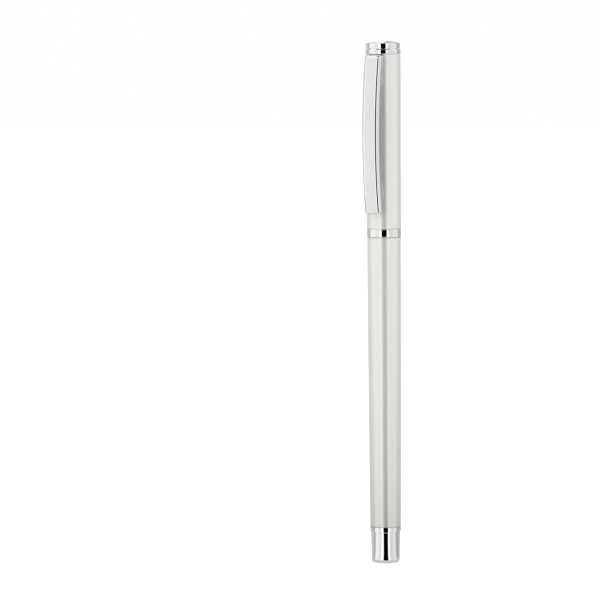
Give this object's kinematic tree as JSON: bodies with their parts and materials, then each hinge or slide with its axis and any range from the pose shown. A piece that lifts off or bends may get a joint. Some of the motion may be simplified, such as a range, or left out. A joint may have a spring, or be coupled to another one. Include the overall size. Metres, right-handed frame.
{
  "type": "rollerball pen",
  "caption": "Capped metal rollerball pen with a pull-off cap, sprung pocket clip, screw-out front section, and refill with a free-turning writing ball.",
  "frame": {"origin": "centre of the tail's flat foot, on the pen's axis", "axes": "+Z along the pen from the tail to the crown, -Y towards the clip, +X to the right when facing the clip"},
  "size_m": [0.0092, 0.0132, 0.138],
  "materials": {
    "satin_silver": "satin silver lacquer on brass tube",
    "chrome_plate": "bright chrome plating",
    "brass": "turned brass",
    "steel": "fine turned steel",
    "black_plastic": "satin moulded plastic",
    "pale_plastic": "natural moulded plastic",
    "ink_fibre": "ink-soaked fibre"
  },
  "bodies": {
    "barrel": {"barrel_tube": "satin_silver", "barrel_bush": "brass", "tail_piece": "chrome_plate", "refill_spring": "steel"},
    "cap": {"cap_tube": "satin_silver", "cap_band": "chrome_plate", "inner_cap": "pale_plastic", "crown_bush": "black_plastic", "crown_ring": "chrome_plate", "crown_button": "chrome_plate"},
    "clip": {"clip": "chrome_plate"},
    "refill": {"refill_tube": "steel", "refill_plug": "black_plastic", "ink_reservoir": "ink_fibre", "refill_nose": "black_plastic", "feed_wick": "ink_fibre", "refill_point": "steel"},
    "section": {"section_coupler": "brass", "section_ring": "chrome_plate", "clutch_ring": "steel", "grip": "black_plastic", "nose_cone": "chrome_plate"},
    "ball": {"writing_ball": "steel"}
  },
  "joints": [
    {"name": "cap_pull", "type": "slide", "parent": "barrel", "child": "cap", "axis": [0, 0, 1], "range_m": [0, 0.045]},
    {"name": "clip_flex", "type": "hinge", "parent": "cap", "child": "clip", "pos_m": [0, -0.0046, 0.1338], "axis": [-1, 0, 0], "range_deg": [0, 4], "stiffness_Nm_per_rad": 2},
    {"name": "refill_advance", "type": "slide", "parent": "barrel", "child": "refill", "axis": [0, 0, 1], "range_m": [0, 0.0045], "deforming": ["refill_spring"]},
    {"name": "section_unscrew", "type": "hinge", "parent": "refill", "child": "section", "pos_m": [0, 0, 0.0863], "axis": [0, 0, 1], "range_deg": [0, 2160]},
    {"name": "ball_roll", "type": "hinge", "parent": "refill", "child": "ball", "pos_m": [0, 0, 0.12065], "axis": [1, 0, 0], "continuous": true}
  ],
  "couplings": [
    {"joint": "section_unscrew", "follows": "refill_advance", "rad_per_m": 8377.6}
  ]
}
